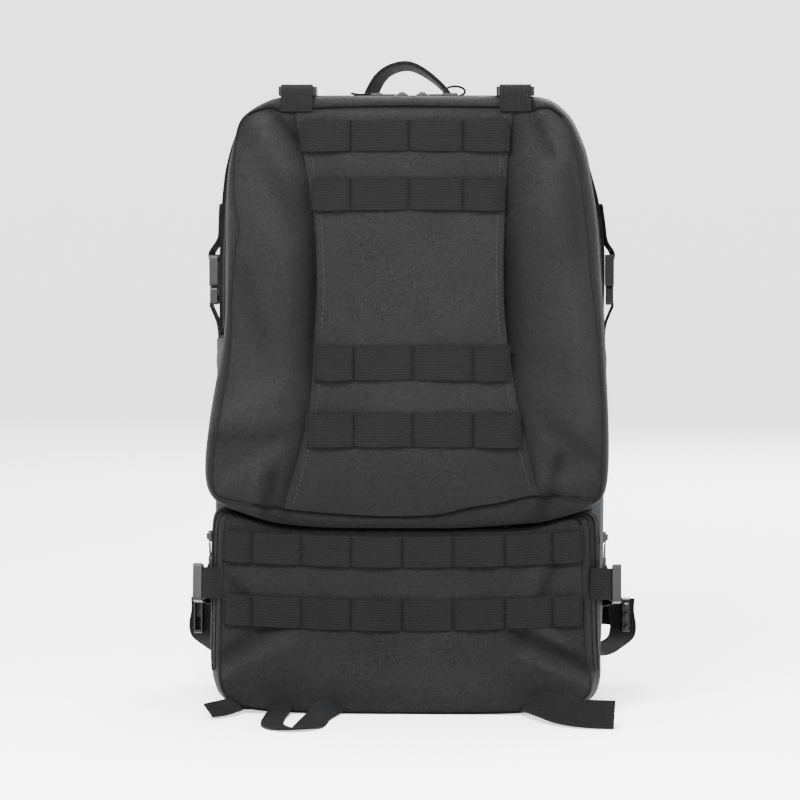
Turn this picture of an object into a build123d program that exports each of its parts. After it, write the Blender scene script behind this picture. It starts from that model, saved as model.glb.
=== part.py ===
from build123d import *
import os
from math import cos, radians, sin

# Trauma backpack, in millimetres. +Z is up, -Y is the front with the pockets, +Y the wearer's side.
# The origin is on the ground, under the middle of the pack's width.

# Pack body, as seen from the front
TOP_Z = 490.0
HALF_TOP = 120.0
SHOULDER_Z = 425.0
HALF_SHOULDER = 147.0
WIDE_Z = 190.0
HALF_WIDE = 157.0
HALF_BASE = 150.0
TOP_R, SHOULDER_R, SIDE_R, BASE_R = 30.0, 110.0, 300.0, 32.0
WALL = 2.0
GAP = 0.4

# Depths, front to back
UPPER_FRONT_Y = -95.0
LOWER_FRONT_Y = -80.0
POCKET_ZIP_Y = -70.0
DIVIDER_Y = -27.0
MAIN_ZIP_Y = 40.0
SHELL_BACK_Y = 104.0

# Heights of the folds and of the shelf between the two pockets
FOLD_Z = 298.0
SHELF_Z = 150.0
LID_LOW_Z = 8.0

# Raised centre panel: half width at each height
HOURGLASS = [(86, 489), (75, 405), (74, 340), (81, 258), (101, 163)]
HOURGLASS_THICK = 1.5

# Attachment webbing
WEB = 1.6
PALS_H = 25.4
PALS_TOP = [(80, 460), (75, 414)]
PALS_MIDDLE = [(78, 281), (85, 228)]
PALS_LOWER = [(143, 132), (143, 82)]

# Straps and side-release buckles for 25 mm webbing
STRAP_W = 25.0
BUCKLE_W = 30.0
WEB_OFFSET = 4.4
TOP_BUCKLE = (86.0, -64.0, TOP_Z + 5.6)
LOWER_BUCKLE = (167.5, -50.0, 101.0)
LOWER_TILT = 10.0
SIDE_BUCKLE = (164.0, 66.0, 338.0)
STERNUM_Y, STERNUM_Z = 151.0, 330.0

# Zip sliders: (x, y, z) where each one sits
MAIN_SLIDER_X = 14.0
UPPER_SLIDERS = {"left": -4.0, "right": 12.0}
LOWER_SLIDER_Z = 141.0
COIL_W, COIL_H = 5.0, 0.8
SLIDER_IN = 4.6

# Harness
PAD_X, PAD_W, PAD_T = 66.0, 60.0, 11.0
PAD_PATH = [(114, 452), (125, 438), (139, 385), (139, 290), (128, 208)]
WING_IN_X, WING_OUT_X = 98.0, 148.0
WING_Y, WING_T = 124.0, 12.0
WING_Z, WING_H = 62.0, 44.0
HIP_ROUTE = [(0.4, 0), (19, -2), (28, -14), (26, -34)]
HANDLE_Y, HANDLE_W, HANDLE_T = 88.0, 16.0, 5.0
HANDLE_PATH = [(-30, 0.6), (-29, 21), (2, 41), (33, 22), (36, 0.6)]

SIDES = {"left": -1, "right": 1}
BIG = 600.0


def save(name, *solids):
    """Write one node, made of one or more separate solids."""
    pieces = [piece for solid in solids for piece in solid.solids()]
    shape = solids[0] if len(solids) == 1 else Compound(children=pieces)
    export_step(shape, f"parts/{name}.step")


def outline(inset=0.0):
    """The pack's front outline, with width along X and height along Y of the sketch."""
    right = [(HALF_BASE, 0), (HALF_WIDE, WIDE_Z), (HALF_SHOULDER, SHOULDER_Z), (HALF_TOP, TOP_Z)]
    left = [(-x, z) for x, z in reversed(right)]
    radii = [BASE_R, SIDE_R, SHOULDER_R, TOP_R]
    face = make_face(FilletPolyline(*right, *left, radius=radii + radii[::-1], close=True))
    return offset(face, -inset) if inset else face


def slab(face, y_front, y_back):
    """A sketch of X and Z made solid from y_front to y_back."""
    return extrude(Pos(0, y_back, 0) * (Plane.XZ * face), amount=y_back - y_front, dir=(0, -1, 0))


def layer(z_low, z_high):
    """Everything between two heights."""
    return Pos(0, 0, (z_low + z_high) / 2) * Box(BIG, BIG, z_high - z_low)


def block(x0, x1, y0, y1, z0, z1):
    """A box from its two corners."""
    return Pos((x0 + x1) / 2, (y0 + y1) / 2, (z0 + z1) / 2) * Box(abs(x1 - x0), y1 - y0, z1 - z0)


def ring(y_front, y_back):
    """The gusset all round the pack between two depths."""
    return slab(outline() - outline(WALL), y_front, y_back)


def band(place, points, width, thickness=WEB, radius=6.0):
    """A flat strap that follows points in the X and Z of a place, as wide as width along its Y."""
    path = FilletPolyline(*points, radius=radius) if len(points) > 2 else Line(*points)
    return place * extrude(Plane.XZ * trace(path, thickness), amount=width / 2, both=True)


def rear_shell():
    """The bag's back half, its base and the lower sides up to the pocket divider."""
    lower = ring(DIVIDER_Y + WALL + GAP, SHELL_BACK_Y) & layer(-1, FOLD_Z)
    upper = ring(MAIN_ZIP_Y + GAP, SHELL_BACK_Y) & layer(FOLD_Z, TOP_Z + 1)
    return lower + upper


def pocket_front(y_front, z_low, z_high):
    """A front panel between two heights."""
    return slab(outline(), y_front, y_front + WALL) & layer(z_low, z_high)


def upper_pocket_base():
    """The fixed lower half of the upper pocket: gusset, front and floor."""
    sides = ring(UPPER_FRONT_Y, DIVIDER_Y) & layer(SHELF_Z, FOLD_Z)
    floor = slab(outline(), UPPER_FRONT_Y, DIVIDER_Y) & layer(SHELF_Z, SHELF_Z + WALL)
    return sides + floor + pocket_front(UPPER_FRONT_Y, SHELF_Z, FOLD_Z)


def pocket_tube(y_front, y_back):
    """The lower pocket's gusset and roof between two depths."""
    roof_z = SHELF_Z - WALL
    sides = ring(y_front, y_back) & layer(-1, roof_z)
    return sides + (slab(outline(), y_front, y_back) & layer(roof_z - WALL, roof_z))


def lower_pocket_shell():
    """The lower pocket's fixed part, with the sill that its lid hinges on."""
    sill = slab(outline(), LOWER_FRONT_Y, POCKET_ZIP_Y) & layer(-1, WALL)
    sides = ring(LOWER_FRONT_Y, POCKET_ZIP_Y) & layer(-1, LID_LOW_Z)
    front = pocket_front(LOWER_FRONT_Y, -1, LID_LOW_Z)
    return pocket_tube(POCKET_ZIP_Y, DIVIDER_Y) + sill + sides + front


def lower_lid():
    """The lower pocket's front, which folds down on the sill."""
    rim = pocket_tube(LOWER_FRONT_Y, POCKET_ZIP_Y - GAP)
    return (rim + pocket_front(LOWER_FRONT_Y, 0, SHELF_Z - WALL)) & layer(LID_LOW_Z + GAP, SHELF_Z)


def mouth_gusset():
    """The arch of gusset between the main zip and the upper pocket's zip."""
    return ring(POCKET_ZIP_Y + GAP / 2, MAIN_ZIP_Y - GAP / 2) & layer(FOLD_Z + GAP, TOP_Z + 1)


def upper_lid():
    """The upper pocket's front above the fold, with its strip of gusset."""
    arch = ring(UPPER_FRONT_Y, POCKET_ZIP_Y - GAP / 2)
    front = slab(outline(), UPPER_FRONT_Y, UPPER_FRONT_Y + WALL)
    return (arch + front) & layer(FOLD_Z + GAP, TOP_Z + 1)


def hourglass(z_low, z_high):
    """The raised centre panel between two heights."""
    side = Spline(*HOURGLASS)
    other = Spline(*[(-x, z) for x, z in HOURGLASS])
    (x_top, z_top), (x_end, z_end) = HOURGLASS[0], HOURGLASS[-1]
    ends = [Line((x, z), (-x, z)) for x, z in ((x_top, z_top), (x_end, z_end))]
    face = make_face(side + other + ends[0] + ends[1])
    return slab(face, UPPER_FRONT_Y - HOURGLASS_THICK, UPPER_FRONT_Y) & layer(z_low, z_high)


def pals_rows(rows, y_back):
    """Rows of attachment webbing, one strip for each (half width, height)."""
    return [block(-half, half, y_back - WEB, y_back, z - PALS_H / 2, z + PALS_H / 2) for half, z in rows]


def coil(y, z_low, z_high):
    """A zip's coil, standing just proud of the gusset."""
    proud = slab(outline(-COIL_H) - outline(), y, y + COIL_W)
    return proud & layer(z_low, z_high)


def buckle_socket(place):
    """The female half of a side-release buckle, open at its X = 0 end, with a bar for its webbing."""
    body = Pos(13, 0, 0) * Box(26, BUCKLE_W, 7)
    body = fillet(body.edges().filter_by(Axis.Z), 2.5)
    mouth = Pos(6.5, 0, 0) * Box(15, 24.6, 4.8)
    slot = Pos(21.5, 0, 0) * Box(4, STRAP_W + 1, 8)
    return place * (body - mouth - slot)


def buckle_plug(place):
    """The male half: a body with a bar for its webbing, a guide tongue and two latch arms."""
    body = Pos(-7.9, 0, 0) * Box(15, 28, 6)
    body = fillet(body.edges().filter_by(Axis.Z), 2.5)
    slot = Pos(-10, 0, 0) * Box(4, STRAP_W - 1, 8)
    tongue = Pos(5, 0, 0) * Box(12, 5, 2.6)
    arms = [Pos(5.5, s * 9.4, 0) * Box(13, 3.2, 2.6) for s in (-1, 1)]
    return place * (body - slot + tongue + arms[0] + arms[1])


def slider(place):
    """A zip slider: a wedge body with its bridge, on a surface at the place's Z = 0."""
    body = Pos(0, 0, 1.7) * Box(9, 7.4, 2.6)
    body = fillet(body.edges().filter_by(Axis.Z), 2.0)
    bridge = Pos(0, 0, 3.7) * Box(5, 1.6, 1.6)
    return place * (body + bridge)


def pull(place):
    """A cord zip pull with a moulded end, lying beside its slider."""
    cord = Pos(10.5, 0, 2.2) * Box(11, 2.4, 1.6)
    grip = Pos(22, 0, 2.3) * Box(12, 5.0, 2.8)
    grip = fillet(grip.edges().filter_by(Axis.Z), 1.8)
    return place * (cord + grip)


def top_place(side):
    """A top buckle's frame: X forward along the strap, Z up."""
    x, y, z = TOP_BUCKLE
    return Plane(origin=(side * x, y, z), x_dir=(0, -1, 0), z_dir=(0, 0, 1))


def lower_place(side):
    """A lower side buckle's frame: X forward and a little up, Z out of the pack's side."""
    x, y, z = LOWER_BUCKLE
    tilt = radians(LOWER_TILT)
    return Plane(origin=(side * x, y, z), x_dir=(0, -cos(tilt), sin(tilt)), z_dir=(side, 0, 0))


def side_place(side):
    """An upper side buckle's frame: X up the hanging strap, Z out of the pack's side."""
    x, y, z = SIDE_BUCKLE
    return Plane(origin=(side * x, y, z), x_dir=(0, 0, 1), z_dir=(side, 0, 0))


def sternum_place():
    """The sternum buckle's frame: X to the right across the chest, Z away from the pack."""
    return Plane(origin=(0, STERNUM_Y, STERNUM_Z), x_dir=(1, 0, 0), z_dir=(0, 1, 0))


def body_nodes():
    """Shells, walls and the sheets inside them."""
    save("main_shell", rear_shell())
    save("back_panel", slab(outline(), SHELL_BACK_Y, SHELL_BACK_Y + 2.5))
    save("frame_sheet", block(-118, 118, 99.2, 100.8, 20, 462))
    save("frame_stays", *[block(s * 50, s * 72, 101.0, 103.6, 26, 456) for s in SIDES.values()])
    save("back_liner", slab(outline(WALL + 2), 97.6, 98.8))
    save("hydration_sleeve", block(-105, 105, 93.6, 96.0, 16, 300))
    save("divider_lower", slab(outline(), DIVIDER_Y + 0.1, DIVIDER_Y + WALL) & layer(-1, FOLD_Z))
    save("upper_pocket_base", upper_pocket_base())
    save("lower_pocket_shell", lower_pocket_shell())
    save("hourglass_lower", hourglass(163, FOLD_Z))
    save("pals_rows_middle", *pals_rows(PALS_MIDDLE, UPPER_FRONT_Y - HOURGLASS_THICK - 0.1))
    save("back_pads", *[block(s * 14, s * 92, 107.0, 118.5, 150, 425) for s in SIDES.values()])
    save("lumbar_pad", block(-78, 78, 107.0, 116.5, 38, 122))


def lid_nodes():
    """The parts that open: the main compartment's mouth and the two pocket lids."""
    save("mouth_gusset", mouth_gusset())
    divider = slab(outline(WALL + 0.1), DIVIDER_Y, DIVIDER_Y + WALL)
    save("divider_upper", divider & layer(FOLD_Z + GAP, TOP_Z))
    panel = block(-108, 108, DIVIDER_Y - 2.2, DIVIDER_Y - 0.2, 312, 452)
    y_front, y_back = DIVIDER_Y - 12.5, DIVIDER_Y - 2.4
    loops = [block(x - 12, x + 12, y_front, y_back, 372, 404) for x in range(-84, 85, 28)]
    save("elastic_organiser", panel, *loops)
    save("upper_lid", upper_lid())
    save("hourglass_upper", hourglass(FOLD_Z + GAP, 489))
    save("pals_rows_top", *pals_rows(PALS_TOP, UPPER_FRONT_Y - HOURGLASS_THICK - 0.1))
    save("lower_lid", lower_lid())
    save("pals_rows_lower", *pals_rows(PALS_LOWER, LOWER_FRONT_Y - 0.1))


def zip_nodes():
    """Zip coils, and the sliders with their pulls."""
    lower_coil = coil(POCKET_ZIP_Y + 0.6, LID_LOW_Z + 26, SHELF_Z - 3)
    save("main_zip_coil", coil(MAIN_ZIP_Y + 0.6, FOLD_Z, TOP_Z + 1), lower_coil)
    save("upper_zip_coil", coil(POCKET_ZIP_Y + 0.6, FOLD_Z + 1, TOP_Z + 1))
    lean = Vector(HALF_WIDE - HALF_BASE, 0, WIDE_Z).normalized()
    wall_x = HALF_BASE + (HALF_WIDE - HALF_BASE) * LOWER_SLIDER_Z / WIDE_Z + COIL_H
    pocket_y = POCKET_ZIP_Y + SLIDER_IN
    for name, side in SIDES.items():
        top_z = TOP_Z + COIL_H
        over_top = Plane(origin=(side * MAIN_SLIDER_X, MAIN_ZIP_Y + SLIDER_IN, top_z), x_dir=(side, 0, 0))
        along_top = Plane(origin=(UPPER_SLIDERS[name], pocket_y, top_z), x_dir=(side, 0, 0))
        down = Plane(origin=(side * wall_x, pocket_y, LOWER_SLIDER_Z), x_dir=(-side * lean.X, 0, -lean.Z),
                     z_dir=(side * lean.Z, 0, -lean.X))
        save(f"main_zip_slider_{name}", slider(over_top), pull(over_top))
        save(f"upper_zip_slider_{name}", slider(along_top), pull(along_top))
        save(f"lower_zip_slider_{name}", slider(down), pull(down))


def top_tab(side):
    """Webbing folded over the upper lid's top edge, under its buckle socket."""
    x = side * TOP_BUCKLE[0]
    flap = block(x - STRAP_W / 2, x + STRAP_W / 2, -98.4, -96.8, 479, TOP_Z + 2.0)
    return band(top_place(side), [(7, -WEB_OFFSET), (34.4, -WEB_OFFSET)], STRAP_W) + flap


def both(make, place):
    """The same piece on the left and on the right."""
    return [make(place(side)) for side in SIDES.values()]


def strap_nodes():
    """Compression straps with their buckles, on the top and on both sides."""
    lower_tab = [(1, -WEB_OFFSET), (25, -WEB_OFFSET), (29.5, -11.6)]
    lower_run = [(-1, -WEB_OFFSET), (-40, -WEB_OFFSET), (-60, -11.4), (-118, -10.6)]
    side_run = [(92, -14.2), (74, -12.0), (40, -WEB_OFFSET), (1, -WEB_OFFSET)]
    side_tail = [(-1, -WEB_OFFSET), (-78, -WEB_OFFSET)]
    top_run = [(-1, -WEB_OFFSET), (-62, -WEB_OFFSET)]
    save("top_tabs", *[top_tab(side) for side in SIDES.values()])
    save("top_straps", *both(lambda place: band(place, top_run, STRAP_W), top_place))
    save("lower_tabs", *both(lambda place: band(place, lower_tab, STRAP_W, radius=3), lower_place))
    save("lower_straps", *both(lambda place: band(place, lower_run, STRAP_W), lower_place))
    save("side_straps", *both(lambda place: band(place, side_run, STRAP_W), side_place),
         *both(lambda place: band(place, side_tail, STRAP_W), side_place))
    for level, place in {"top": top_place, "lower": lower_place, "side": side_place}.items():
        save(f"{level}_buckle_sockets", *both(buckle_socket, place))
        for name, side in SIDES.items():
            save(f"{level}_buckle_plug_{name}", buckle_plug(place(side)))


def profile_place(x):
    """A frame for strap profiles: X towards the wearer, Z up, with Y across the strap."""
    return Plane(origin=(x, 0, 0), x_dir=(0, 1, 0), z_dir=(0, 0, 1))


def ladder_lock(side):
    """The strap adjuster at a shoulder pad's lower end: a frame with a middle bar."""
    place = Plane(origin=(side * PAD_X, 126.0, 194.0), x_dir=(0, 0.13, 1), z_dir=(0, 1, -0.13))
    return place * (Box(20, BUCKLE_W, 4) - Box(11, STRAP_W + 1, 6) + Box(2.5, BUCKLE_W, 4))


def shoulder_webbing(side):
    """Webbing from a ladder lock down to the pack's lower corner."""
    start, end = Vector(side * PAD_X, 123.6, 177.5), Vector(side * 128, 108.4, 30.0)
    along = end - start
    normal = Vector(0, 1, 0) - along * (along.Y / along.length ** 2)
    return Plane(origin=(start + end) * 0.5, x_dir=along, z_dir=normal) * Box(along.length, STRAP_W, WEB)


def hip_wing(side):
    """A padded hip belt wing."""
    wing = block(side * WING_IN_X, side * WING_OUT_X, WING_Y - WING_T / 2, WING_Y + WING_T / 2,
                 WING_Z - WING_H / 2, WING_Z + WING_H / 2)
    return fillet(wing.edges().filter_by(Axis.Y), 14)


def hip_webbing(side):
    """Webbing from a hip wing's end, curving forward past the pack's side."""
    route = FilletPolyline(*[(side * x, y) for x, y in HIP_ROUTE], radius=6)
    return Pos(side * WING_OUT_X, WING_Y, WING_Z) * extrude(trace(route, WEB), STRAP_W / 2, both=True)


def harness_nodes():
    """Shoulder straps, sternum strap, hip belt and carry handle."""
    chest = sternum_place()
    for name, side in SIDES.items():
        pad = band(profile_place(side * PAD_X), PAD_PATH, PAD_W, PAD_T, [16, 60, 120])
        save(f"shoulder_pad_{name}", pad)
        save(f"hip_wing_{name}", hip_wing(side))
        save(f"hip_webbing_{name}", hip_webbing(side))
    save("ladder_locks", *[ladder_lock(side) for side in SIDES.values()])
    anchor, lock = (107.6, 484), (151, 421)
    lifters = [band(profile_place(side * PAD_X), [anchor, lock], 20) for side in SIDES.values()]
    save("load_lifters", *lifters)
    save("shoulder_webbing", *[shoulder_webbing(side) for side in SIDES.values()])
    runs = [[(side, -WEB_OFFSET), (side * 46, -WEB_OFFSET)] for side in SIDES.values()]
    save("sternum_straps", *[band(chest, run, 20) for run in runs])
    save("sternum_buckle_socket", buckle_socket(chest))
    save("sternum_buckle_plug", buckle_plug(chest))
    waist_x, waist_y = WING_OUT_X + HIP_ROUTE[-1][0], WING_Y + HIP_ROUTE[-1][1]
    socket = Plane(origin=(-waist_x - 5, waist_y - 22, WING_Z), x_dir=(0, 1, 0), z_dir=(-1, 0, 0))
    plug = Plane(origin=(waist_x + 5, waist_y - 12, WING_Z), x_dir=(0, -1, 0), z_dir=(1, 0, 0))
    save("waist_buckle_socket", buckle_socket(socket))
    save("waist_buckle_plug", buckle_plug(plug))
    save("grab_handle", band(Pos(0, HANDLE_Y, TOP_Z), HANDLE_PATH, HANDLE_W, HANDLE_T, [14, 30, 14]))


def ground_nodes():
    """Lashing straps sewn into the front bottom seam, lying on the ground."""
    sewn_y = LOWER_FRONT_Y - 0.2
    left_leg = [(-101, sewn_y), (-101, -98), (-107, -130), (-98, -160)]
    right_leg = [(-73, -152), (-68, -112), (-62, -96), (-62, sewn_y)]
    loop = FilletPolyline(*left_leg, *right_leg, radius=[40, 40, 14, 14, 20, 12])
    tail = FilletPolyline((98, sewn_y), (98, -97), (112, -121), (136, -152), radius=[24, 60])
    corner = Line((-124, -95), (-160, -97))
    save("lash_loop", extrude(trace(loop, 18), 2.0))
    save("lash_tails", *[extrude(trace(strap, STRAP_W), 2.0) for strap in (tail, corner)])


os.makedirs("parts", exist_ok=True)
body_nodes()
lid_nodes()
zip_nodes()
strap_nodes()
harness_nodes()
ground_nodes()
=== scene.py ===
import math
from contextlib import contextmanager

import bmesh
import bpy
import numpy as np
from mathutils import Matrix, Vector, noise


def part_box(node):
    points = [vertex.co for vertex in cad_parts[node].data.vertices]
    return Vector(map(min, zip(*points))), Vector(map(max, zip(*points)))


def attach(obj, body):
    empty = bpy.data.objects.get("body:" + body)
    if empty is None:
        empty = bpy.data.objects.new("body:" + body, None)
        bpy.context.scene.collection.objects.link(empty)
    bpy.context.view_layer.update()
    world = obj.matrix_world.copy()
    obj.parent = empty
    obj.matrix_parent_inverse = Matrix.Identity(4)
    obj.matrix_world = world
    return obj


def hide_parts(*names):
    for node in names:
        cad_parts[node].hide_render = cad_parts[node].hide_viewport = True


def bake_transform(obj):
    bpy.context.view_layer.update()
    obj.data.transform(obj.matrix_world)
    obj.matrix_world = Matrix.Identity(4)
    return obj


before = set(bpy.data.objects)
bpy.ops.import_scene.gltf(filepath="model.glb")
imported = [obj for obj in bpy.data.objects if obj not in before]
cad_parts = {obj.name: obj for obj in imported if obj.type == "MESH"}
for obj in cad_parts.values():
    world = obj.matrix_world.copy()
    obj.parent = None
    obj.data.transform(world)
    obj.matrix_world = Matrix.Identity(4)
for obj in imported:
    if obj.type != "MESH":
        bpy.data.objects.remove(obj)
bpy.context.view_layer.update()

# Lengths are in millimetres up to the point where a mesh is made. -Y is the pack's front.
MM = 0.001


def box_mm(node):
    """A node's lowest and highest corners, in millimetres."""
    low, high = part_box(node)
    return np.array(low) / MM, np.array(high) / MM


LID_LOW, LID_HIGH = box_mm("upper_lid")
MOUTH_LOW, MOUTH_HIGH = box_mm("mouth_gusset")
BASE_HIGH = box_mm("upper_pocket_base")[1]

FOLD = BASE_HIGH[2]
FRONT = LID_LOW[1]
POCKET_ZIP = (LID_HIGH[1] + MOUTH_LOW[1]) / 2
DIVIDER = BASE_HIGH[1]
MAIN_ZIP = MOUTH_HIGH[1]
BACK = box_mm("main_shell")[1][1]
LOWER_FRONT, SILL = box_mm("lower_lid")[0][1:]
PANEL_TOP, PANEL_FOOT = 482.2, 160.0
LOWER_ZIP_FOOT = 34
WRAP = 15.0
CLOTH, LINER = 1.6, 1.2
STRAP_WIDTH, STRAP_THICK = 25, 1.7
VOXEL = 4.0
COIL_PITCH, COIL_HALF = 1.8, 1.5
POCKET_SEED, LOWER_SEED = 3.0, 7.0
SLACK, LOWER_SLACK = 1.1, 0.8
ZIP_GAP = 0.3
HARNESS = (STRAP_WIDTH, 1.5)
SIDES = (("left", -1), ("right", 1))
UP, DOWN = (0, 0, 1), (0, 0, -1)
AT_FOLD, AT_SILL = (0, 0, FOLD), (0, 0, SILL)


# Curves and grids

def smooth(points, rounds=4, closed=False):
    """A polyline rounded by cutting its corners."""
    pts = np.array(points, float)
    for _ in range(rounds):
        ahead = np.roll(pts, -1, axis=0)
        if not closed:
            pts, ahead = pts[:-1], ahead[:-1]
        cut = np.empty((2 * len(pts), pts.shape[1]))
        cut[0::2] = pts * 0.75 + ahead * 0.25
        cut[1::2] = pts * 0.25 + ahead * 0.75
        if not closed:
            cut = np.vstack([points[0], cut, points[-1]])
        pts = cut
    return pts


def travelled(path):
    """How far along a path each of its points lies."""
    return np.concatenate([[0], np.cumsum(np.linalg.norm(np.diff(path, axis=0), axis=1))])


def length_of(path):
    """A path's length."""
    return np.linalg.norm(np.diff(path, axis=0), axis=1).sum()


def unit(vectors):
    """Each row scaled to a length of 1."""
    return vectors / np.linalg.norm(vectors, axis=1)[:, None]


def evenly(points, count, closed=False):
    """Points at equal steps along a polyline."""
    pts = np.vstack([points, points[:1]]) if closed else np.array(points, float)
    along = travelled(pts)
    steps = np.linspace(0, along[-1], count + 1 if closed else count)
    steps = steps[:-1] if closed else steps
    return np.stack([np.interp(steps, along, pts[:, k]) for k in range(pts.shape[1])], axis=1)


def loop(points, count=560):
    """A closed rounded outline of X and Z that follows control points, from its bottom centre."""
    path = smooth(points, 3, closed=True)
    path = evenly(path, count, closed=True)
    first = int(np.argmin(np.abs(path[:, 0]) + 10 * path[:, 1]))
    return evenly(np.roll(path, -first, axis=0), count, closed=True)


def outward(path):
    """Unit normals of a closed anticlockwise outline."""
    along = np.roll(path, -1, axis=0) - np.roll(path, 1, axis=0)
    return unit(np.stack([along[:, 1], -along[:, 0]], axis=1))


def level(path, y):
    """An outline placed at a depth."""
    return np.stack([path[:, 0], np.full(len(path), y), path[:, 1]], axis=1)


def ripple(p, size, seed):
    """Smooth noise between -1 and 1 at a place."""
    return noise.noise(Vector((p[0] / size + seed, p[1] / size, p[2] / size)))


def crumple(verts, amount=0.9, seed=0.0):
    """Pushes vertices by soft noise, as slack cloth lies."""
    out = np.array(verts, float)
    for k, p in enumerate(verts):
        big = ripple(p, 85.0, seed) + 0.45 * ripple(p, 31.0, seed + 9.0)
        out[k, 1] += amount * big
        out[k, 0] += 0.6 * amount * ripple(p, 55.0, seed + 21.0)
    return out


def make(name, verts, faces, uvs=None, shade=True):
    """A mesh object from vertices in millimetres, with one UV, in metres, for each vertex."""
    mesh = bpy.data.meshes.new(name)
    mesh.from_pydata([tuple(v) for v in np.array(verts) * MM], [], [tuple(int(i) for i in f) for f in faces])
    if uvs is not None:
        layer = mesh.uv_layers.new(name="cloth")
        index = np.empty(len(mesh.loops), np.int32)
        mesh.loops.foreach_get("vertex_index", index)
        layer.data.foreach_set("uv", (np.array(uvs)[index] * MM).astype(np.float32).ravel())
    mesh.update()
    obj = bpy.data.objects.new(name, mesh)
    bpy.context.collection.objects.link(obj)
    if shade:
        mesh.shade_smooth()
    return obj


def grid(rows, closed=False):
    """Vertices, faces and lengthwise UVs of a grid of points, with closed rows if asked."""
    rows = np.array(rows, float)
    m, n = rows.shape[:2]
    faces = []
    for i in range(m - 1):
        for j in range(n if closed else n - 1):
            k = (j + 1) % n
            faces.append((i * n + j, i * n + k, (i + 1) * n + k, (i + 1) * n + j))
    across = np.concatenate([[0], np.cumsum(np.linalg.norm(np.diff(rows, axis=0), axis=2).mean(axis=1))])
    uv = np.stack(np.meshgrid(travelled(rows[m // 2]), across), axis=2).reshape(-1, 2)
    return rows.reshape(-1, 3), faces, uv


@contextmanager
def edited(obj):
    """An object's mesh as a bmesh, written back at the end."""
    bm = bmesh.new()
    bm.from_mesh(obj.data)
    yield bm
    bm.to_mesh(obj.data)
    bm.free()


def thicken(obj, thickness=CLOTH, offset=-1.0):
    """Gives a sheet its thickness, with crisp edges."""
    with edited(obj) as bm:
        for edge in bm.edges:
            if edge.is_boundary:
                edge.smooth = False
    mod = obj.modifiers.new("thickness", "SOLIDIFY")
    mod.thickness = thickness * MM
    mod.offset = offset
    return obj


def cloth(name, rows, thickness):
    """A sheet through rows of points, with its thickness on both sides."""
    return thicken(make(name, *grid(rows)), thickness, 0.0)


def part_of(obj, name, *planes):
    """A copy of an object, cut by planes: each is a point, and a normal on the side thrown away."""
    copy = obj.copy()
    copy.data = obj.data.copy()
    copy.name = copy.data.name = name
    bpy.context.collection.objects.link(copy)
    with edited(copy) as bm:
        for point, normal in planes:
            geom = bm.verts[:] + bm.edges[:] + bm.faces[:]
            where = Vector(point) * MM
            bmesh.ops.bisect_plane(bm, geom=geom, plane_co=where, plane_no=normal, clear_outer=True)
    return copy


def joined(name, objects, weld=True):
    """Several meshes as one object."""
    target = objects[0]
    with bpy.context.temp_override(active_object=target, selected_editable_objects=objects):
        bpy.ops.object.join()
    target.name = target.data.name = name
    if weld:
        with edited(target) as bm:
            bmesh.ops.remove_doubles(bm, verts=bm.verts, dist=0.05 * MM)
    return target


def drop(*objects):
    """Deletes working objects."""
    for obj in objects:
        bpy.data.objects.remove(obj, do_unlink=True)


# Materials

class Nodes:
    """A short way to write a material's nodes."""

    def __init__(self, name, colour, roughness, specular=0.3, sheen=0.0, metallic=0.0):
        self.material = bpy.data.materials.new(name)
        self.material.use_nodes = True
        self.tree = self.material.node_tree
        self.shader = self.tree.nodes["Principled BSDF"]
        values = {"Base Color": (*colour, 1), "Roughness": roughness, "Specular IOR Level": specular,
                  "Metallic": metallic, "Sheen Weight": sheen, "Sheen Roughness": 0.5,
                  "Sheen Tint": (0.6, 0.6, 0.62, 1)}
        for name, value in values.items():
            self.shader.inputs[name].default_value = value
        self.colour = colour
        self.coords = self.tree.nodes.new("ShaderNodeTexCoord")

    def feed(self, socket, value):
        """Sets a socket to a value, or links another node's output to it."""
        if isinstance(value, bpy.types.NodeSocket):
            self.tree.links.new(value, socket)
        else:
            socket.default_value = value

    def node(self, kind, **inputs):
        """A new node, with some of its inputs fed by name."""
        node = self.tree.nodes.new("ShaderNode" + kind)
        for name, value in inputs.items():
            self.feed(node.inputs[name], value)
        return node

    def math(self, operation, *values):
        node = self.node("Math")
        node.operation = operation
        for socket, value in zip(node.inputs, values):
            self.feed(socket, value)
        return node.outputs[0]

    def noise(self, scale, detail=3.0):
        vector = self.coords.outputs["Object"]
        return self.node("TexNoise", Scale=scale, Detail=detail, Vector=vector).outputs["Fac"]

    def uv(self):
        return self.node("SeparateXYZ", Vector=self.coords.outputs["UV"]).outputs[:2]

    def attribute(self, name):
        node = self.node("Attribute")
        node.attribute_name = name
        return node.outputs["Fac"]

    def wave(self, coordinate, pitch_mm):
        return self.math("SINE", self.math("MULTIPLY", coordinate, 2 * math.pi / (pitch_mm * MM)))

    def mottle(self, value, amount):
        """Colour that varies with a value around the middle."""
        low = tuple(c * (1 - amount) for c in self.colour)
        high = tuple(c * (1 + amount) for c in self.colour)
        mix = self.node("Mix")
        mix.data_type = "RGBA"
        for name, feed in (("A", (*low, 1)), ("B", (*high, 1)), ("Factor", value)):
            self.feed(mix.inputs[name], feed)
        self.feed(self.shader.inputs["Base Color"], mix.outputs["Result"])

    def rough(self, value, low, high):
        self.feed(self.shader.inputs["Roughness"], self.math("MULTIPLY_ADD", value, high - low, low))

    def bump(self, height, distance_mm, strength=1.0):
        node = self.node("Bump", Distance=distance_mm * MM, Strength=strength, Height=height)
        self.feed(self.shader.inputs["Normal"], node.outputs[0])


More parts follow.
